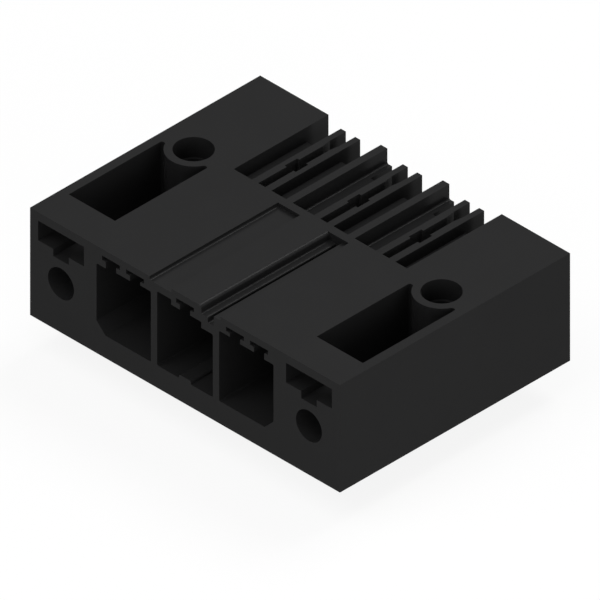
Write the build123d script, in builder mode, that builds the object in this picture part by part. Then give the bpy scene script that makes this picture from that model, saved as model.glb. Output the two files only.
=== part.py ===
"""Right-angle PCB header with three poles and a screw flange at each end.

Sizes are in millimetres. X runs along the row of poles, Y from the mating face to the rear,
and Z up from the board. The origin is the centre of the underside that sits on the board.
Depths are counted from the mating face and heights from the board.
"""

import os

from build123d import *

# Body
pole_pitch = 7.62
pole_count = 3
body_depth = 28.3
body_height = 11.4
plate_depth = 16.64  # full-height front part, over the cavities
mating_depth = 15.78  # how far the mating plug goes in

# Cavities
cavity_floor = 2.39
partition = 0.77  # wall between two cavities
outer_half_width = 3.26  # from the pole to the wall beside a flange
corner_chamfer = 1.1
cavity_corner_radius = 0.15
outer_roof = 1.87  # a roof is counted from the ceiling up to the top face
middle_roof = 1.72
inner_roof = 1.57
raised_roof = 1.16
raised_roof_edge = 1.7  # to the left of the middle pole
lowered_roof = 2.35
lowered_roof_edge = 2.0  # to the right of the middle pole
coding_rib_width = 1.5
coding_rib_height = 0.37
coding_rib_rounding = 0.22

# Key slots in the ceilings
key_spread = 1.48  # from the pole to each of a pair of key slots
key_head_width = 2.2
key_head_height = 0.46
key_roof = 0.71
key_stem_width = 1.27
key_lip_radius = 0.12

# Relief grooves in the top plate
relief_inner_edge = 1.63
relief_outer_edge = 4.35
relief_depth = 0.4
relief_foot_radius = 0.15
channel_edge = 2.0  # wall of the deep channel nearest the middle
channel_rounding = 0.33
channel_step_edge = 2.8
channel_outer_edge = 3.54
channel_step_depth = 0.84
channel_depth = 1.43
channel_edge_radius = 0.14

# Flanges
flange_front_wall = 3.79
screw_bore = 3.2
screw_height = 5.2
window_width = 5.64
window_height = 2.08
window_roof = 0.9
notch_width = 1.92
notch_height = 0.76  # below the window
pocket_width = 5.68
pocket_floor = 2.0
pocket_rear = 15.24  # tips of the pocket, either side of the boss
pocket_tip_radius = 0.2
boss_depth = 16.31
boss_radius = 2.63
boss_bore = 3.2
boss_counterbore = 3.7
boss_counterbore_depth = 2.14

# Flange nut and the ribs that hold it
nut_width = 5.5
nut_thickness = 2.4
nut_bore = 2.5
nut_bevel = 0.25
nut_corner_bevel = 0.45
nut_play = 0.05
nut_rib_width = 0.95
nut_rib_thickness = 0.9
nut_rib_top = 7.9
nut_sides = 6

# Rear bay
bay_half_width = 10.65
bay_recess = 1.6  # below the top face
bay_floor_rear = 25.65
barrier_width = 0.8
barrier_foot_width = 1.96
barrier_foot_radius = 0.18

# Fin pairs
fin_thickness = 0.765
fin_drop = 0.41  # from the top face down to the fins
fin_rear = 27.98
slot_width = 0.85
slot_rear_width = 1.15
slot_flare_start = 25.0
slot_flare_end = 26.0
shaft_width = 1.36
shaft_length = 1.54

# Contacts
contact_sheet = 0.8
blade_tip = 5.2
blade_height = 3.0
blade_middle = 5.9
blade_window_play = 0.05
contact_foot = 3.4
contact_drop = 2.1  # from the top face down to the contacts
leg_width = 1.0
front_leg_depth = 21.33
leg_pitch = 5.08
leg_reach = 3.5  # below the board seat
contact_bevel = 0.25

# Cores in the underside, which keep the walls of the rear block even
core_wall = 1.2
core_roof = 1.5
core_corner_radius = 0.5

# Places worked out from the sizes above
end_pole_x = (pole_count - 1) / 2 * pole_pitch
pole_xs = [number * pole_pitch - end_pole_x for number in range(pole_count)]
barrier_xs = [x + pole_pitch / 2 for x in pole_xs[:-1]]
flange_x = end_pole_x + pole_pitch
flange_xs = (-flange_x, flange_x)
body_width = 2 * flange_x + pole_pitch
inner_half_width = (pole_pitch - partition) / 2
outer_ceiling = body_height - outer_roof
middle_ceiling = body_height - middle_roof
inner_ceiling = body_height - inner_roof
raised_ceiling = body_height - raised_roof
lowered_ceiling = body_height - lowered_roof
key_top = body_height - key_roof
key_head_bottom = key_top - key_head_height
key_xs = (-key_spread, 0, key_spread)
window_top = body_height - window_roof
window_bottom = window_top - window_height
bay_floor = body_height - bay_recess
fin_top = body_height - fin_drop
contact_top = body_height - contact_drop
fin_pair_width = slot_width + 2 * fin_thickness
rear_leg_depth = front_leg_depth + leg_pitch
mating_plane = Plane.XZ.offset(body_depth / 2)
plate_rear_plane = mating_plane.offset(-plate_depth)
nut_plane = mating_plane.offset(-flange_front_wall)
nearby = 1e-4  # corners this near to a line lie on it


def behind(depth):
    """Y of a place that lies this far behind the mating face."""
    return depth - body_depth / 2


def plan_rectangle(width, start, end, x=0.0):
    """A rectangle seen from above, from one depth to another, centred on x."""
    with Locations((x, behind((start + end) / 2))):
        Rectangle(width, end - start)


def front_rectangle(width, bottom, top, x=0.0):
    """A rectangle seen from the front, from one height to another, centred on x."""
    with Locations((x, (bottom + top) / 2)):
        Rectangle(width, top - bottom)


def key_slot(x, ceiling):
    """The T-shaped opening of one key slot above a ceiling."""
    front_rectangle(key_head_width, key_head_bottom, key_top, x)
    front_rectangle(key_stem_width, ceiling - key_lip_radius, key_head_bottom + key_lip_radius, x)


def lip_corners(sketch):
    """The corners where the key slots' stems open into their heads."""
    heads = sketch.vertices().filter_by_position(Axis.Y, key_head_bottom - nearby, key_head_bottom + nearby)
    return [v for v in heads if any(abs(abs(v.X - x) - key_stem_width / 2) < nearby for x in key_xs)]


# Cavity of an end pole, drawn about its pole with the flange on the right
with BuildSketch() as outer_cavity:
    with BuildLine():
        Polyline(
            (-inner_half_width, cavity_floor),
            (outer_half_width - corner_chamfer, cavity_floor),
            (outer_half_width, cavity_floor + corner_chamfer),
            (outer_half_width, outer_ceiling),
            (key_spread, outer_ceiling),
            (key_spread, middle_ceiling),
            (-key_spread, middle_ceiling),
            (-key_spread, inner_ceiling),
            (-inner_half_width, inner_ceiling),
            close=True,
        )
    make_face()
    walls = outer_cavity.vertices().group_by(Axis.X)
    upper_flange_corner = walls[-1].sort_by(Axis.Y)[-1]
    fillet([*walls[0], upper_flange_corner], cavity_corner_radius)
    key_slot(key_spread, outer_ceiling)
    key_slot(-key_spread, middle_ceiling)
    fillet(lip_corners(outer_cavity), key_lip_radius)

# Cavity of the middle pole, with a coding rib on its floor
with BuildSketch() as middle_cavity:
    with BuildLine():
        Polyline(
            (-inner_half_width, cavity_floor),
            (inner_half_width, cavity_floor),
            (inner_half_width, lowered_ceiling),
            (lowered_roof_edge, lowered_ceiling),
            (lowered_roof_edge, middle_ceiling),
            (-raised_roof_edge, middle_ceiling),
            (-raised_roof_edge, raised_ceiling),
            (-inner_half_width, raised_ceiling),
            close=True,
        )
    make_face()
    walls = middle_cavity.vertices().group_by(Axis.X)
    fillet([*walls[0], *walls[-1]], cavity_corner_radius)
    key_slot(0, middle_ceiling)
    fillet(lip_corners(middle_cavity), key_lip_radius)
    with BuildSketch(mode=Mode.PRIVATE) as coding_rib:
        front_rectangle(coding_rib_width, cavity_floor - coding_rib_height, cavity_floor + coding_rib_height)
        fillet(coding_rib.vertices().group_by(Axis.Y)[-1], coding_rib_rounding)
    add(coding_rib.sketch, mode=Mode.SUBTRACT)

with BuildPart() as housing:
    with BuildSketch():
        Rectangle(body_width, body_depth)
    extrude(amount=body_height)

    # Bay behind the top plate, open to the rear, and the gap behind its floor
    with BuildSketch(Plane.XY.offset(bay_floor)):
        plan_rectangle(2 * bay_half_width, plate_depth, body_depth)
    extrude(amount=body_height - bay_floor, mode=Mode.SUBTRACT)
    with BuildSketch():
        plan_rectangle(2 * bay_half_width, bay_floor_rear, body_depth)
    extrude(amount=bay_floor, mode=Mode.SUBTRACT)

    # Barrier ribs between the poles, each on a wider foot
    with BuildSketch(plate_rear_plane):
        for x in barrier_xs:
            with BuildSketch(mode=Mode.PRIVATE) as barrier:
                front_rectangle(barrier_foot_width, 0, bay_floor, x)
                front_rectangle(barrier_width, 0, body_height, x)
                foot_corners = barrier.vertices().filter_by_position(Axis.Y, bay_floor, bay_floor)
                fillet(foot_corners.sort_by(lambda v: abs(v.X - x))[:2], barrier_foot_radius)
            add(barrier.sketch)
    extrude(amount=plate_depth - body_depth)

    # Fin pairs that guard the contacts
    with BuildSketch():
        for x in pole_xs:
            plan_rectangle(fin_pair_width, plate_depth, fin_rear, x)
    extrude(amount=fin_top)

    # Mating cavities, with the key slots in their ceilings
    with BuildSketch(mating_plane):
        with BuildSketch(mode=Mode.PRIVATE) as outer_cavities:
            with Locations((end_pole_x, 0)):
                add(outer_cavity.sketch)
            mirror(about=Plane.YZ)
        add(outer_cavities.sketch)
        add(middle_cavity.sketch)
    extrude(amount=-mating_depth, mode=Mode.SUBTRACT)

    # Slots for the contacts: down to their feet, and right through from the front leg rearwards
    slot_through = front_leg_depth - shaft_length / 2
    with BuildSketch(Plane.XY.offset(contact_foot)):
        for x in pole_xs:
            plan_rectangle(slot_width, plate_depth, fin_rear, x)
    extrude(amount=fin_top - contact_foot, mode=Mode.SUBTRACT)
    with BuildSketch():
        for x in pole_xs:
            plan_rectangle(slot_width, slot_through, fin_rear, x)
            plan_rectangle(shaft_width, slot_through, slot_through + shaft_length, x)
            with BuildLine(Location((x, 0))):
                Polyline(
                    (-slot_width / 2, behind(slot_flare_start)),
                    (slot_width / 2, behind(slot_flare_start)),
                    (slot_rear_width / 2, behind(slot_flare_end)),
                    (slot_rear_width / 2, behind(fin_rear)),
                    (-slot_rear_width / 2, behind(fin_rear)),
                    (-slot_rear_width / 2, behind(slot_flare_end)),
                    close=True,
                )
            make_face()
    extrude(amount=fin_top, mode=Mode.SUBTRACT)

    # Windows that the blades pass through, from the slots into the cavities
    blade_window = blade_height + 2 * blade_window_play
    with BuildSketch(plate_rear_plane):
        for x in pole_xs:
            front_rectangle(slot_width, blade_middle - blade_window / 2, blade_middle + blade_window / 2, x)
    extrude(amount=plate_depth - mating_depth, mode=Mode.SUBTRACT)

    # Flange pockets, round the bosses, and the ribs that hold the nuts against the front wall
    with BuildSketch(Plane.XY.offset(pocket_floor)):
        for x in flange_xs:
            with BuildSketch(mode=Mode.PRIVATE) as pocket:
                plan_rectangle(pocket_width, flange_front_wall, pocket_rear, x)
                with Locations((x, behind(boss_depth))):
                    Circle(boss_radius, mode=Mode.SUBTRACT)
                fillet(pocket.vertices().group_by(Axis.Y)[-1], pocket_tip_radius)
            add(pocket.sketch)
    extrude(amount=body_height - pocket_floor, mode=Mode.SUBTRACT)
    nut_rib_start = flange_front_wall + nut_thickness + nut_play
    with BuildSketch(Plane.XY.offset(pocket_floor)):
        for x in flange_xs:
            for side in (-1, 1):
                rib_x = x + side * (pocket_width - nut_rib_width) / 2
                plan_rectangle(nut_rib_width, nut_rib_start, nut_rib_start + nut_rib_thickness, rib_x)
    extrude(amount=nut_rib_top - pocket_floor)

    # Screw bores and T-shaped windows through the flanges' front walls
    with BuildSketch(mating_plane):
        for x in flange_xs:
            with Locations((x, screw_height)):
                Circle(screw_bore / 2)
            front_rectangle(window_width, window_bottom, window_top, x)
            front_rectangle(notch_width, window_bottom - notch_height, window_top, x)
    extrude(amount=-flange_front_wall, mode=Mode.SUBTRACT)

    # Upright bores for the board screws
    with Locations(*[(x, behind(boss_depth), body_height) for x in flange_xs]):
        CounterBoreHole(boss_bore / 2, boss_counterbore / 2, boss_counterbore_depth)

    # Cores between the contacts, and in the flanges behind the bosses
    contact_core_width = pole_pitch - shaft_width - 2 * core_wall
    with BuildSketch() as contact_cores:
        for x in barrier_xs:
            plan_rectangle(contact_core_width, plate_depth + core_wall, bay_floor_rear - core_wall, x)
        fillet(contact_cores.vertices(), core_corner_radius)
    extrude(amount=bay_floor - core_roof, mode=Mode.SUBTRACT)
    flange_core_width = body_width / 2 - bay_half_width - 2 * core_wall
    flange_core_x = (body_width / 2 + bay_half_width) / 2
    with BuildSketch() as flange_cores:
        for x in (-flange_core_x, flange_core_x):
            plan_rectangle(flange_core_width, boss_depth + boss_radius, body_depth - core_wall, x)
        fillet(flange_cores.vertices(), core_corner_radius)
    extrude(amount=body_height - core_roof, mode=Mode.SUBTRACT)

    # Relief grooves in the top plate: a shallow one on the left, a stepped channel on the right
    with BuildSketch(mating_plane):
        with BuildSketch(mode=Mode.PRIVATE) as shallow_relief:
            relief_width = relief_outer_edge - relief_inner_edge
            relief_x = -(relief_outer_edge + relief_inner_edge) / 2
            front_rectangle(relief_width, body_height - relief_depth, body_height, relief_x)
            fillet(shallow_relief.vertices().group_by(Axis.Y)[0].sort_by(Axis.X)[0], relief_foot_radius)
        add(shallow_relief.sketch)
        with BuildSketch(mode=Mode.PRIVATE) as stepped_relief:
            with BuildLine():
                rounding = RadiusArc(
                    (channel_edge - channel_rounding, body_height),
                    (channel_edge, body_height - channel_rounding),
                    channel_rounding,
                )
                Polyline(
                    rounding @ 1,
                    (channel_edge, body_height - channel_step_depth),
                    (channel_step_edge, body_height - channel_step_depth),
                    (channel_step_edge, body_height - channel_depth),
                    (channel_outer_edge, body_height - channel_depth),
                    (channel_outer_edge, body_height - relief_depth),
                    (relief_outer_edge, body_height - relief_depth),
                    (relief_outer_edge, body_height),
                    rounding @ 0,
                )
            make_face()
            steps = stepped_relief.vertices().filter_by_position(
                Axis.Y, body_height - channel_depth, body_height - channel_step_depth
            )
            fillet(steps.filter_by(lambda v: v.X < channel_outer_edge + nearby), channel_edge_radius)
        add(stepped_relief.sketch)
    extrude(amount=-mating_depth, mode=Mode.SUBTRACT)

housing.part.label = "housing"

# One stamped contact, standing on edge in its slot
with BuildPart() as contact:
    with BuildSketch(Plane.YZ):
        blade_bottom = blade_middle - blade_height / 2
        blade_top = blade_middle + blade_height / 2
        rear_edge = rear_leg_depth + leg_width / 2
        with BuildLine():
            Polyline(
                (behind(blade_tip), blade_bottom),
                (behind(plate_depth), blade_bottom),
                (behind(plate_depth), contact_foot),
                (behind(rear_edge), contact_foot),
                (behind(rear_edge), contact_top),
                (behind(plate_depth), contact_top),
                (behind(plate_depth), blade_top),
                (behind(blade_tip), blade_top),
                close=True,
            )
        make_face()
        for depth in (front_leg_depth, rear_leg_depth):
            with Locations((behind(depth), (contact_foot - leg_reach) / 2)):
                Rectangle(leg_width, contact_foot + leg_reach)
    extrude(amount=contact_sheet / 2, both=True)
    blade_end = contact.faces().sort_by(Axis.Y)[0]
    leg_ends = contact.faces().group_by(Axis.Z)[0]
    chamfer([*blade_end.edges(), *leg_ends.edges()], contact_bevel)

# One hexagon nut, standing behind the front wall with two flats against the pocket's sides
with BuildPart() as nut:
    with BuildSketch(nut_plane):
        with Locations((0, screw_height)):
            hexagon = RegularPolygon(nut_width / 2, nut_sides, major_radius=False, rotation=180 / nut_sides)
    extrude(amount=-nut_thickness)
    with BuildPart(mode=Mode.PRIVATE) as turned:
        with BuildSketch(nut_plane):
            with Locations((0, screw_height)):
                Circle(hexagon.radius)
        extrude(amount=-nut_thickness)
        chamfer(turned.edges().filter_by(GeomType.CIRCLE), nut_corner_bevel)
    add(turned.part, mode=Mode.INTERSECT)
    with BuildSketch(nut_plane):
        with Locations((0, screw_height)):
            Circle(nut_bore / 2)
    extrude(amount=-nut_thickness, mode=Mode.SUBTRACT)
    bore_ends = nut.edges().filter_by(lambda e: e.geom_type == GeomType.CIRCLE and e.radius < screw_bore / 2)
    chamfer(bore_ends, nut_bevel)

contacts = {}
for number, x in enumerate(pole_xs, start=1):
    contacts[f"contact_{number}"] = Pos(x, 0, 0) * contact.part

nuts = {
    "flange_nut_left": Pos(-flange_x, 0, 0) * nut.part,
    "flange_nut_right": Pos(flange_x, 0, 0) * nut.part,
}

os.makedirs("parts", exist_ok=True)
export_step(housing.part, "parts/housing.step")
for name, piece in {**contacts, **nuts}.items():
    piece.label = name
    export_step(piece, f"parts/{name}.step")
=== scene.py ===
"""Looks of a right-angle PCB header with three poles and a screw flange at each end.

Lengths are in metres in the part's frame: X runs along the row of poles, Y from the mating
face to the rear, and Z up from the board.
"""

import logging
import math
from dataclasses import dataclass, field
from enum import Enum

import bmesh
import bpy
from mathutils import Euler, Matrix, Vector


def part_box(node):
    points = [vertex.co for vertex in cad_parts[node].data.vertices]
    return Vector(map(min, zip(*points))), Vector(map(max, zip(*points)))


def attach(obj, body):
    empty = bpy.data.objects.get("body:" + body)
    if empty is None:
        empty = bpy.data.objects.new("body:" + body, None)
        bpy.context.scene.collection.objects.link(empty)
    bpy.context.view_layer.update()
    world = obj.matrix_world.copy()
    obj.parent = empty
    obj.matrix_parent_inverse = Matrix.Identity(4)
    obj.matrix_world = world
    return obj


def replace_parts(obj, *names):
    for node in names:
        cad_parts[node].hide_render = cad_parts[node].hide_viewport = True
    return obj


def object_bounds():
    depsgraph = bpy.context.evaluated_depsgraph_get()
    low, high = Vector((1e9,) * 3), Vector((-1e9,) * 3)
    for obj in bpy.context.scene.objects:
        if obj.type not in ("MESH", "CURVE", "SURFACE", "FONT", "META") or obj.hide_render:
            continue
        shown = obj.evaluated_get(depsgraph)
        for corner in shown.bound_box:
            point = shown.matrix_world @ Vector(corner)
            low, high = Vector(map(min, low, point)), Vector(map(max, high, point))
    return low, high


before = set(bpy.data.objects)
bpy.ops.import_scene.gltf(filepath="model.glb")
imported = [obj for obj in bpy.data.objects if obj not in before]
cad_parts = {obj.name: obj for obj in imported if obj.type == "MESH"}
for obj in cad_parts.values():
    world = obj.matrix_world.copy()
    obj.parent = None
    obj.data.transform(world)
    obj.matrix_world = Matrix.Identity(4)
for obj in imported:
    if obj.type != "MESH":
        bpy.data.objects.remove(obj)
cad_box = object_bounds()

log = logging.getLogger("header")
MM = 0.001
QUARTER_TURN = math.radians(90)


class Slot(Enum):
    """The record's material slots of the contacts and the nuts."""

    CONTACTS = "contacts"
    NUTS = "flange_nuts"


class Value:
    """A number on a node's output that can be used in arithmetic."""

    def __init__(self, shade: "Shade", socket: bpy.types.NodeSocket) -> None:
        """Keeps the shader that the number belongs to and the socket that gives it."""
        self.shade = shade
        self.socket = socket

    def _maths(self, operation: str, first: "Value | float", second: "Value | float") -> "Value":
        """Adds one Math node and returns its result."""
        return self.shade.node("ShaderNodeMath", {"operation": operation}, {0: first, 1: second})

    def __add__(self, other: "Value | float") -> "Value":
        """Returns self + other."""
        return self._maths("ADD", self, other)

    def __radd__(self, other: float) -> "Value":
        """Returns other + self."""
        return self._maths("ADD", other, self)

    def __sub__(self, other: "Value | float") -> "Value":
        """Returns self - other."""
        return self._maths("SUBTRACT", self, other)

    def __rsub__(self, other: float) -> "Value":
        """Returns other - self."""
        return self._maths("SUBTRACT", other, self)

    def __mul__(self, other: "Value | float") -> "Value":
        """Returns self * other."""
        return self._maths("MULTIPLY", self, other)

    def __rmul__(self, other: float) -> "Value":
        """Returns other * self."""
        return self._maths("MULTIPLY", other, self)

    def at_least(self, other: "Value | float") -> "Value":
        """Returns the larger of the two."""
        return self._maths("MAXIMUM", self, other)


class Shade:
    """The node tree of a material or a world, empty at first.

    Attributes:
        NOISE_MEAN: The mean of the noise that noise() returns.
        MIX_FIRST, MIX_SECOND, MIX_RESULT: The colour sockets of a Mix node.
        tree: The node tree.
    """

    NOISE_MEAN = 0.5
    MIX_FIRST = 6
    MIX_SECOND = 7
    MIX_RESULT = 2

    def __init__(self, owner: bpy.types.Material | bpy.types.World) -> None:
        """Clears the owner's nodes.

        Args:
            owner: The material or world whose nodes this object makes.
        """
        owner.use_nodes = True
        self.tree = owner.node_tree
        self.tree.nodes.clear()

    def node(self, kind: str, settings: dict, sockets: dict, output: int | str = 0) -> Value:
        """Adds a node, with its settings first and its sockets after them.

        Args:
            kind: The node's type.
            settings: The node's own properties, such as a Math node's operation.
            sockets: A number, colour, vector or Value for each input socket, by name or place.
            output: The output that is wanted, by name or place.

        Returns:
            The wanted output.
        """
        made = self.tree.nodes.new(kind)
        for name, setting in settings.items():
            setattr(made, name, setting)
        for key, given in sockets.items():
            if isinstance(given, Value):
                self.tree.links.new(given.socket, made.inputs[key])
            else:
                made.inputs[key].default_value = given
        return Value(self, made.outputs[output])

    def place(self) -> Value:
        """Returns the point on the object, in metres in the part's frame."""
        return self.node("ShaderNodeTexCoord", {}, {}, "Object")

    def stretched(self, place: Value, scale: Vector) -> Value:
        """Returns the place scaled along each axis."""
        return self.node("ShaderNodeVectorMath", {"operation": "MULTIPLY"}, {0: place, 1: scale})

    def noise(self, place: Value, size: float, detail: float = 2.0) -> Value:
        """Returns smooth noise from 0 to 1 whose blotches are about this size.

        Args:
            place: Where on the object the noise is read.
            size: The size of a blotch.
            detail: How many finer layers are added.
        """
        sockets = {"Vector": place, "Scale": 1 / size, "Detail": detail}
        return self.node("ShaderNodeTexNoise", {}, sockets)

    def around(self, mean: float, noise: Value, spread: float) -> Value:
        """Returns a number that drifts with the noise.

        Args:
            mean: The number that it drifts about.
            noise: The noise.
            spread: How far it drifts to either side. Below 0, more noise makes it smaller.
        """
        return mean + (noise - self.NOISE_MEAN) * (2 * spread)

    def mixed(self, factor: Value, first: tuple, second: tuple) -> Value:
        """Returns a colour between two colours."""
        sockets = {0: factor, self.MIX_FIRST: (*first, 1), self.MIX_SECOND: (*second, 1)}
        return self.node("ShaderNodeMix", {"data_type": "RGBA"}, sockets, self.MIX_RESULT)

    def bump(self, height: Value, depth: float) -> Value:
        """Returns the surface direction over bumps of this depth."""
        sockets = {"Height": height, "Distance": depth, "Strength": 1.0}
        return self.node("ShaderNodeBump", {}, sockets)

    def finish(self, surface: Value, kind: str = "ShaderNodeOutputMaterial") -> None:
        """Links the surface to the tree's output."""
        out = self.tree.nodes.new(kind)
        self.tree.links.new(surface.socket, out.inputs["Surface"])


@dataclass(frozen=True)
class MouldedPlastic:
    """Near-black plastic, moulded in a finely spark-eroded tool.

    Attributes:
        dark, light: The two tones that drift into each other over the moulding.
        gloss: The share of reflected light, as the shader's specular level.
        roughness: The mean roughness.
        roughness_spread: How far the roughness drifts to either side.
        drift: The size of the areas over which tone and gloss drift.
        grain: The size of the tool's grain.
        grain_detail: How many finer layers the grain has.
        grain_depth: The height of the grain.
    """

    dark: tuple = (0.0135, 0.0135, 0.0137)
    light: tuple = (0.0151, 0.0151, 0.0153)
    gloss: float = 0.047
    roughness: float = 0.25
    roughness_spread: float = 0.03
    drift: float = 4 * MM
    grain: float = 0.06 * MM
    grain_detail: float = 3.0
    grain_depth: float = 0.0006 * MM

    def material(self) -> bpy.types.Material:
        """Returns the plastic's material."""
        made = bpy.data.materials.new("black_moulded_plastic")
        shade = Shade(made)
        place = shade.place()
        drift = shade.noise(place, self.drift)
        grain = shade.noise(place, self.grain, self.grain_detail)
        surface = shade.node("ShaderNodeBsdfPrincipled", {}, {
            "Base Color": shade.mixed(drift, self.dark, self.light),
            "Roughness": shade.around(self.roughness, drift, self.roughness_spread),
            "Specular IOR Level": self.gloss,
            "Normal": shade.bump(grain, self.grain_depth),
        })
        shade.finish(surface)
        return made


@dataclass(frozen=True)
class TinPlate:
    """Bright tin over rolled copper alloy, with faint lines along the strip.

    Attributes:
        dull, bright: The two tones of the plating.
        roughness: The mean roughness.
        roughness_spread: How far the roughness drifts to either side.
        drift: The size of the areas over which the tone drifts.
        drift_detail: How many finer layers the drift has.
        line: The spacing of the rolling lines.
        line_length: How long a rolling line is.
        line_depth: The depth of the rolling lines.
    """

    dull: tuple = (0.42, 0.415, 0.40)
    bright: tuple = (0.58, 0.575, 0.56)
    roughness: float = 0.24
    roughness_spread: float = 0.07
    drift: float = 1.2 * MM
    drift_detail: float = 4.0
    line: float = 0.05 * MM
    line_length: float = 2.5 * MM
    line_depth: float = 0.0008 * MM

    def material(self) -> bpy.types.Material:
        """Returns the plating's material."""
        made = bpy.data.materials.new("tin_plate")
        shade = Shade(made)
        place = shade.place()
        drift = shade.noise(place, self.drift, self.drift_detail)
        along = self.line / self.line_length
        lines = shade.noise(shade.stretched(place, Vector((1, along, 1))), self.line)
        surface = shade.node("ShaderNodeBsdfPrincipled", {}, {
            "Base Color": shade.mixed(drift, self.dull, self.bright),
            "Metallic": 1.0,
            "Roughness": shade.around(self.roughness, lines, self.roughness_spread),
            "Normal": shade.bump(lines, self.line_depth),
        })
        shade.finish(surface)
        return made


@dataclass(frozen=True)
class ZincPlate:
    """Zinc plate on a pressed steel nut, mottled where it was tumbled.

    Attributes:
        dull, bright: The two tones of the plating.
        roughness: The mean roughness.
        roughness_spread: How far the roughness drifts to either side.
        mottle: The size of the mottling.
        mottle_detail: How many finer layers the mottling has.
        mottle_depth: The height of the mottling.
    """

    dull: tuple = (0.46, 0.47, 0.49)
    bright: tuple = (0.66, 0.67, 0.69)
    roughness: float = 0.33
    roughness_spread: float = 0.08
    mottle: float = 0.35 * MM
    mottle_detail: float = 5.0
    mottle_depth: float = 0.002 * MM

    def material(self) -> bpy.types.Material:
        """Returns the plating's material."""
        made = bpy.data.materials.new("zinc_plate")
        shade = Shade(made)
        mottle = shade.noise(shade.place(), self.mottle, self.mottle_detail)
        surface = shade.node("ShaderNodeBsdfPrincipled", {}, {
            "Base Color": shade.mixed(mottle, self.dull, self.bright),
            "Metallic": 1.0,
            "Roughness": shade.around(self.roughness, mottle, -self.roughness_spread),
            "Normal": shade.bump(mottle, self.mottle_depth),
        })
        shade.finish(surface)
        return made


def dress(node: str, material: bpy.types.Material) -> None:
    """Gives a CAD node its material through its object's slots."""
    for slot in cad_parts[node].material_slots:
        slot.material = material


def add_piece(mesh: bpy.types.Mesh, name: str) -> bpy.types.Object:
    """Shows a finished mesh as a piece of the part.

    Args:
        mesh: The mesh, with its place in its vertices.
        name: The piece's name.

    Returns:
        The new object, riding on the part's body.
    """
    piece = bpy.data.objects.new(name, mesh)
    bpy.context.scene.collection.objects.link(piece)
    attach(piece, "root")
    log.info("%s: %d faces", name, len(mesh.polygons))
    return piece


@dataclass
class Housing:
    """The moulding that carries everything else.

    Attributes:
        node: The moulding's CAD node.
        plastic: Its finish.
    """

    node: str = "housing"
    plastic: MouldedPlastic = field(default_factory=MouldedPlastic)

    def dress(self) -> None:
        """Gives the moulding its plastic."""
        dress(self.node, self.plastic.material())
        log.info("%s: %d faces", self.node, len(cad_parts[self.node].data.polygons))


@dataclass
class Contacts:
    """The three stamped contacts, each with its sheared edges slightly rounded.

    Attributes:
        nodes: The contacts' CAD nodes.
        edge_radius: The rounding that stamping and plating leave on the edges.
        edge_steps: The faces that a rounding is made of.
        edge_profile: The rounding's profile, which is a circle's arc at a half.
        sharp_angle: Edges that turn by more than this are rounded.
        flat_angle: Faces that turn by less than this are merged.
        merge_distance: Points nearer to each other than this are merged.
        plating: The contacts' finish.
    """

    nodes: tuple = ("contact_1", "contact_2", "contact_3")
    edge_radius: float = 0.06 * MM
    edge_steps: int = 3
    edge_profile: float = 0.5
    sharp_angle: float = math.radians(30)
    flat_angle: float = math.radians(1)
    merge_distance: float = 0.0001 * MM
    plating: TinPlate = field(default_factory=TinPlate)

    def rounded(self, node: str) -> bpy.types.Mesh:
        """Returns a copy of a contact's mesh with its edges rounded."""
        form = bmesh.new()
        form.from_mesh(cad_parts[node].data)
        bmesh.ops.remove_doubles(form, verts=form.verts, dist=self.merge_distance)
        bmesh.ops.dissolve_limit(form, angle_limit=self.flat_angle, verts=form.verts,
                                 edges=form.edges)
        corners = [e for e in form.edges if e.calc_face_angle(0) > self.sharp_angle]
        bmesh.ops.bevel(form, geom=corners, offset=self.edge_radius, segments=self.edge_steps,
                        profile=self.edge_profile, affect="EDGES", clamp_overlap=True)
        mesh = bpy.data.meshes.new(f"{node}_stamping")
        form.to_mesh(mesh)
        form.free()
        mesh.shade_smooth()
        mesh.set_sharp_from_angle(angle=self.sharp_angle)
        return mesh

    def build(self) -> None:
        """Builds the three stampings in place of their CAD nodes."""
        material = self.plating.material()
        for node in self.nodes:
            mesh = self.rounded(node)
            mesh.materials.clear()
            mesh.materials.append(material)
            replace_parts(add_piece(mesh, f"{node}_stamping"), node)


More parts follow.
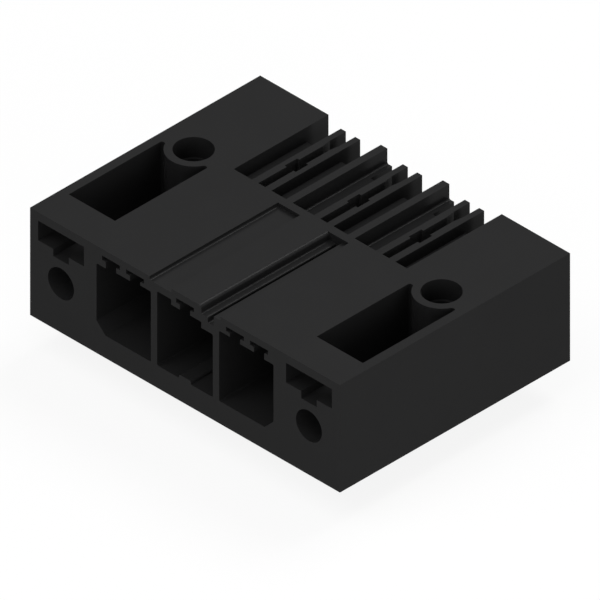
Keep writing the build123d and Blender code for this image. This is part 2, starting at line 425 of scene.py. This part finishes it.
@dataclass
class ScrewThread:
    """An internal metric thread, as one ridge along a helix.

    Attributes:
        major_radius: The radius at the ridge's root.
        minor_radius: The radius at the ridge's crest.
        pitch: How far the thread climbs in one turn.
        crest: The ridge's width at its crest, as a share of the pitch.
        root: The ridge's width at its root, as a share of the pitch.
        sunk: How far the ridge reaches into the nut, so that no gap shows.
        steps: The points in one turn.
    """

    major_radius: float = 1.5 * MM
    minor_radius: float = 1.24 * MM
    pitch: float = 0.5 * MM
    crest: float = 0.25
    root: float = 0.86
    sunk: float = 0.02 * MM
    steps: int = 48

    def tree(self) -> bpy.types.NodeTree:
        """Returns the node tree that winds the ridge, with its sizes as named inputs."""
        tree = bpy.data.node_groups.new("nut_thread", "GeometryNodeTree")
        for name in ("Radius", "Height", "Turns", "Ridge Root", "Ridge Crest", "Ridge Height"):
            tree.interface.new_socket(name, in_out="INPUT", socket_type="NodeSocketFloat")
        tree.interface.new_socket("Steps", in_out="INPUT", socket_type="NodeSocketInt")
        tree.interface.new_socket("Centre", in_out="INPUT", socket_type="NodeSocketVector")
        tree.interface.new_socket("Plating", in_out="INPUT", socket_type="NodeSocketMaterial")
        tree.interface.new_socket("Mesh", in_out="OUTPUT", socket_type="NodeSocketGeometry")
        sizes = tree.nodes.new("NodeGroupInput").outputs
        link = tree.links.new

        helix = tree.nodes.new("GeometryNodeCurveSpiral")
        link(sizes["Steps"], helix.inputs["Resolution"])
        link(sizes["Turns"], helix.inputs["Rotations"])
        link(sizes["Radius"], helix.inputs["Start Radius"])
        link(sizes["Radius"], helix.inputs["End Radius"])
        link(sizes["Height"], helix.inputs["Height"])

        upright = tree.nodes.new("GeometryNodeSetCurveNormal")
        upright.mode = "Z_UP"
        link(helix.outputs["Curve"], upright.inputs["Curve"])

        ridge = tree.nodes.new("GeometryNodeCurvePrimitiveQuadrilateral")
        ridge.mode = "TRAPEZOID"
        ridge.inputs["Offset"].default_value = 0.0
        link(sizes["Ridge Root"], ridge.inputs["Bottom Width"])
        link(sizes["Ridge Crest"], ridge.inputs["Top Width"])
        link(sizes["Ridge Height"], ridge.inputs["Height"])

        inward = tree.nodes.new("GeometryNodeTransform")
        inward.inputs["Rotation"].default_value = Euler((0, 0, -QUARTER_TURN))
        link(ridge.outputs["Curve"], inward.inputs["Geometry"])

        wound = tree.nodes.new("GeometryNodeCurveToMesh")
        wound.inputs["Fill Caps"].default_value = True
        link(upright.outputs["Curve"], wound.inputs["Curve"])
        link(inward.outputs["Geometry"], wound.inputs["Profile Curve"])

        along_y = tree.nodes.new("GeometryNodeTransform")
        along_y.inputs["Rotation"].default_value = Euler((-QUARTER_TURN, 0, 0))
        link(wound.outputs["Mesh"], along_y.inputs["Geometry"])
        link(sizes["Centre"], along_y.inputs["Translation"])

        realized = tree.nodes.new("GeometryNodeRealizeInstances")
        link(along_y.outputs["Geometry"], realized.inputs["Geometry"])
        plated = tree.nodes.new("GeometryNodeSetMaterial")
        link(realized.outputs["Geometry"], plated.inputs["Geometry"])
        link(sizes["Plating"], plated.inputs["Material"])
        link(plated.outputs["Geometry"], tree.nodes.new("NodeGroupOutput").inputs["Mesh"])
        return tree

    def mesh(self, tree: bpy.types.NodeTree, start: Vector, length: float, name: str,
             plating: bpy.types.Material) -> bpy.types.Mesh:
        """Winds one thread.

        Args:
            tree: The node tree from tree().
            start: The point on the axis where the thread starts. It climbs along +Y.
            length: How far it climbs.
            name: The mesh's name.
            plating: The thread's material.

        Returns:
            The ridge as a plain mesh.
        """
        height = self.major_radius - self.minor_radius + self.sunk
        sizes = {
            "Radius": self.minor_radius + height / 2,
            "Height": length,
            "Turns": length / self.pitch,
            "Ridge Root": self.root * self.pitch,
            "Ridge Crest": self.crest * self.pitch,
            "Ridge Height": height,
            "Steps": self.steps,
            "Centre": start,
            "Plating": plating,
        }
        blank = bpy.data.objects.new(name, bpy.data.meshes.new("blank"))
        bpy.context.scene.collection.objects.link(blank)
        winding = blank.modifiers.new("winding", "NODES")
        winding.node_group = tree
        for socket in tree.interface.items_tree:
            if socket.in_out == "INPUT":
                winding[socket.identifier] = sizes[socket.name]
        shown = blank.evaluated_get(bpy.context.evaluated_depsgraph_get())
        mesh = bpy.data.meshes.new_from_object(shown)
        mesh.name = name
        bpy.data.objects.remove(blank)
        return mesh


@dataclass
class FlangeNuts:
    """The hexagon nuts behind the flanges' front walls, with turned corners and cut threads.

    Attributes:
        nodes: The nuts' CAD nodes.
        facing: The radius of each end face, as a share of half the width across flats.
        corner_slope: The angle at which the corners are turned off.
        countersink: How far the thread's mouth opens past its major radius.
        steps: The points round the nut, a multiple of twelve.
        sharp_angle: Edges that turn by more than this are shaded as edges.
        thread: The thread.
        plating: The nuts' finish.
    """

    nodes: tuple = ("flange_nut_left", "flange_nut_right")
    facing: float = 0.95
    corner_slope: float = math.radians(30)
    countersink: float = 0.12 * MM
    steps: int = 96
    sharp_angle: float = math.radians(20)
    thread: ScrewThread = field(default_factory=ScrewThread)
    plating: ZincPlate = field(default_factory=ZincPlate)

    def half_section(self, angle: float, across_flats: float, thickness: float) -> list:
        """Returns the nut's outline at one angle round its axis.

        Args:
            angle: The angle from a corner.
            across_flats: The nut's width across its flats.
            thickness: The nut's thickness.

        Returns:
            Pairs of radius and height over the nut's middle, in order round the section.
        """
        sixth = math.radians(60)
        corner = across_flats / 2 / math.cos(angle % sixth - sixth / 2)
        face = self.facing * across_flats / 2
        bore = self.thread.major_radius
        half = thickness / 2
        turned = half - (corner - face) * math.tan(self.corner_slope)
        upper = [
            (bore, half - self.countersink),
            (bore + self.countersink, half),
            (face, half),
            (corner, turned),
        ]
        lower = [(radius, -height) for radius, height in reversed(upper)]
        return upper + lower

    def body(self, node: str) -> bpy.types.Mesh:
        """Returns a nut's mesh without its thread, standing where its CAD node stands."""
        low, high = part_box(node)
        centre = (low + high) / 2
        size = high - low
        form = bmesh.new()
        loops = []
        for step in range(self.steps):
            angle = math.radians(360) * step / self.steps
            section = self.half_section(angle, size.x, size.y)
            outwards = Vector((math.sin(angle), 0, math.cos(angle)))
            points = [centre + outwards * r + Vector((0, y, 0)) for r, y in section]
            loops.append([form.verts.new(point) for point in points])
        for loop, following in zip(loops, loops[1:] + loops[:1]):
            for i in range(len(loop)):
                form.faces.new((loop[i - 1], loop[i], following[i], following[i - 1]))
        bmesh.ops.recalc_face_normals(form, faces=form.faces)
        mesh = bpy.data.meshes.new(f"{node}_body")
        form.to_mesh(mesh)
        form.free()
        mesh.shade_smooth()
        mesh.set_sharp_from_angle(angle=self.sharp_angle)
        return mesh

    def build(self) -> None:
        """Builds both nuts, each with its thread, in place of their CAD nodes."""
        plating = self.plating.material()
        tree = self.thread.tree()
        for node in self.nodes:
            mesh = self.body(node)
            mesh.materials.append(plating)
            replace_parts(add_piece(mesh, f"{node}_body"), node)
            low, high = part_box(node)
            centre = (low + high) / 2
            half_ridge = self.thread.root * self.thread.pitch / 2
            inset = self.countersink + half_ridge
            start = Vector((centre.x, low.y + inset, centre.z))
            length = high.y - low.y - 2 * inset
            ridge = self.thread.mesh(tree, start, length, f"{node}_thread", plating)
            add_piece(ridge, f"{node}_thread")


def direction(azimuth: float, elevation: float) -> Vector:
    """Returns the unit vector from the object towards a bearing and height.

    Args:
        azimuth: The bearing in degrees, from the mating face towards +X.
        elevation: The height over the floor in degrees.
    """
    a = math.radians(azimuth)
    e = math.radians(elevation)
    return Vector((math.sin(a) * math.cos(e), -math.cos(a) * math.cos(e), math.sin(e)))


@dataclass(frozen=True)
class SoftLamp:
    """A round lamp that faces the object.

    Attributes:
        name: The lamp's name.
        azimuth, elevation: Where it stands, in degrees.
        strength: How bright its face is, where the floor's white is 1.
        distance: How far it stands off.
        spread: Its radius as a share of its distance.
    """

    name: str
    azimuth: float
    elevation: float
    strength: float
    distance: float = 0.6
    spread: float = 0.447

    def build(self) -> None:
        """Adds the lamp."""
        radius = self.spread * self.distance
        data = bpy.data.lights.new(self.name, "AREA")
        data.shape = "DISK"
        data.size = 2 * radius
        face = math.pi * radius ** 2
        data.energy = self.strength * math.pi * face
        lamp = bpy.data.objects.new(self.name, data)
        back = direction(self.azimuth, self.elevation)
        lamp.location = back * self.distance
        lamp.rotation_euler = (-back).to_track_quat("-Z", "Y").to_euler()
        bpy.context.scene.collection.objects.link(lamp)


@dataclass
class Studio:
    """The floor, the light and the camera.

    Attributes:
        floor_size: The length of the floor's sides.
        floor_tone: The floor as the object's plain surfaces see it.
        floor_shadow: The share of the floor's white that the object's shadow can take away.
        sky: The strength of the light from all round.
        lamps: The soft lamps.
        azimuth, elevation: Where the camera stands, in degrees.
        camera_distance: How far the camera stands off.
        nearest, farthest: The distances between which the camera sees.
        view_size: The width that the picture shows.
        look_at: The point in the middle of the picture.
    """

    floor_size: float = 2.0
    floor_tone: float = 0.37
    floor_shadow: float = 0.12
    sky: float = 0.1
    lamps: tuple = (
        SoftLamp("front_lamp", 0, 66, 2.2),
        SoftLamp("left_front_lamp", 337, 38, 0.92),
        SoftLamp("rear_lamp", 180, 60, 6.8, spread=0.25),
        SoftLamp("right_rear_lamp", 157, 38, 0.6),
        SoftLamp("corner_lamp", 45, 8, 1.66),
        SoftLamp("right_lamp", 90, 8, 1.63),
    )
    azimuth: float = 45.0
    elevation: float = 35.0
    camera_distance: float = 0.3
    nearest: float = 0.01
    farthest: float = 10.0
    view_size: float = 52.16 * MM
    look_at: Vector = field(default_factory=lambda: Vector((-2.4545, 2.4455, 1.5828)) * MM)

    @staticmethod
    def grey(tone: float) -> tuple:
        """Returns the opaque grey of this tone."""
        return (tone, tone, tone, 1)

    def seen_as_white(self, shade: Shade) -> Value:
        """Returns 1 for rays from the camera, from glossy surfaces and through clear ones."""
        path = ("Is Camera Ray", "Is Glossy Ray", "Is Transmission Ray")
        camera, glossy, clear = (shade.node("ShaderNodeLightPath", {}, {}, name) for name in path)
        return camera.at_least(glossy).at_least(clear)

    def floor(self) -> None:
        """Lays the floor under the contacts' legs."""
        form = bmesh.new()
        bmesh.ops.create_grid(form, x_segments=1, y_segments=1, size=self.floor_size / 2)
        bmesh.ops.translate(form, verts=form.verts, vec=(0, 0, cad_box[0].z))
        mesh = bpy.data.meshes.new("floor")
        form.to_mesh(mesh)
        form.free()
        material = bpy.data.materials.new("pale_floor")
        shade = Shade(material)
        pale = shade.node("ShaderNodeBsdfDiffuse", {}, {"Color": self.grey(self.floor_tone)})
        shaded = shade.node("ShaderNodeBsdfDiffuse", {}, {"Color": self.grey(self.floor_shadow)})
        white = shade.node("ShaderNodeEmission", {}, {"Strength": 1 - self.floor_shadow})
        lit = shade.node("ShaderNodeAddShader", {}, {0: shaded, 1: white})
        sockets = {0: self.seen_as_white(shade), 1: pale, 2: lit}
        shade.finish(shade.node("ShaderNodeMixShader", {}, sockets))
        mesh.materials.append(material)
        floor = bpy.data.objects.new("floor", mesh)
        bpy.context.scene.collection.objects.link(floor)

    def light(self) -> None:
        """Sets an even sky and the soft lamps."""
        world = bpy.data.worlds.new("sky")
        bpy.context.scene.world = world
        shade = Shade(world)
        even = shade.node("ShaderNodeBackground", {}, {"Color": self.grey(self.sky)})
        white = shade.node("ShaderNodeBackground", {}, {"Color": self.grey(1)})
        sockets = {0: self.seen_as_white(shade), 1: even, 2: white}
        shade.finish(shade.node("ShaderNodeMixShader", {}, sockets), "ShaderNodeOutputWorld")
        for lamp in self.lamps:
            lamp.build()

    def camera(self) -> None:
        """Places the camera, which sees without perspective."""
        data = bpy.data.cameras.new("camera")
        data.type = "ORTHO"
        data.ortho_scale = self.view_size
        data.clip_start = self.nearest
        data.clip_end = self.farthest
        camera = bpy.data.objects.new("camera", data)
        back = direction(self.azimuth, self.elevation)
        camera.location = self.look_at + back * self.camera_distance
        tilt = QUARTER_TURN - math.radians(self.elevation)
        camera.rotation_euler = Euler((tilt, 0, math.radians(self.azimuth)))
        bpy.context.scene.collection.objects.link(camera)
        bpy.context.scene.camera = camera

    def build(self) -> None:
        """Builds the floor, the light and the camera."""
        bpy.context.scene.view_settings.view_transform = "Standard"
        self.floor()
        self.light()
        self.camera()


def main() -> None:
    """Builds the looks in order."""
    logging.basicConfig(level=logging.INFO, format="%(message)s")
    Housing().dress()
    Contacts().build()
    FlangeNuts().build()
    Studio().build()


if __name__ == "__main__":
    main()
